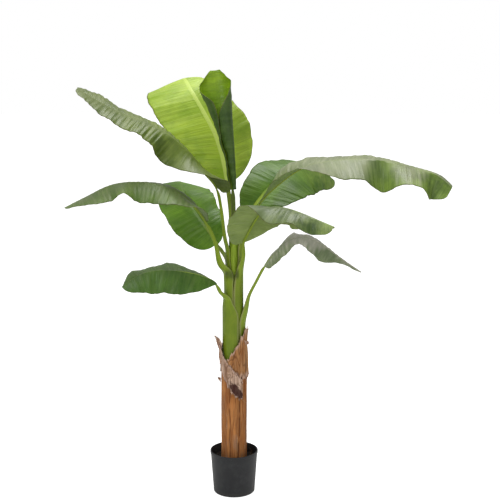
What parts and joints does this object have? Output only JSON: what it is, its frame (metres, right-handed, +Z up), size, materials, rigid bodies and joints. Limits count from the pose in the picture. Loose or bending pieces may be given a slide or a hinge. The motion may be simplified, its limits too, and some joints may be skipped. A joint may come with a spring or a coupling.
{
  "type": "potted banana plant",
  "caption": "Banana plant with broad arching leaves on a husk-covered trunk, standing in a round tapered nursery pot.",
  "frame": {"origin": "centre of the pot's flat underside, on the surface it stands on", "axes": "+Z up along the trunk; -Y is the front, the side of the picture; +X is the side of the longest leaf"},
  "size_m": [1.4926, 0.9263, 1.7555],
  "materials": {
    "pot": "matt black",
    "filling": "rough dark",
    "stem": "smooth green",
    "bark": "rough brown fibre",
    "husk": "dry tan fibre",
    "stalk": "smooth yellow-green",
    "blade": "satin green"
  },
  "bodies": {
    "root": {"pot": "pot", "filling": "filling", "stem": "stem", "bark": "bark", "husk_left": "husk", "husk_right": "husk", "husk_back": "husk", "stalk_01": "stalk", "blade_01": "blade", "stalk_02": "stalk", "blade_02": "blade", "stalk_03": "stalk", "blade_03": "blade", "stalk_04": "stalk", "blade_04": "blade", "stalk_05": "stalk", "blade_05": "blade", "stalk_06": "stalk", "blade_06": "blade", "stalk_07": "stalk", "blade_07": "blade", "stalk_08": "stalk", "blade_08": "blade", "stalk_09": "stalk", "blade_09": "blade", "stalk_10": "stalk", "blade_10": "blade"}
  },
  "joints": []
}
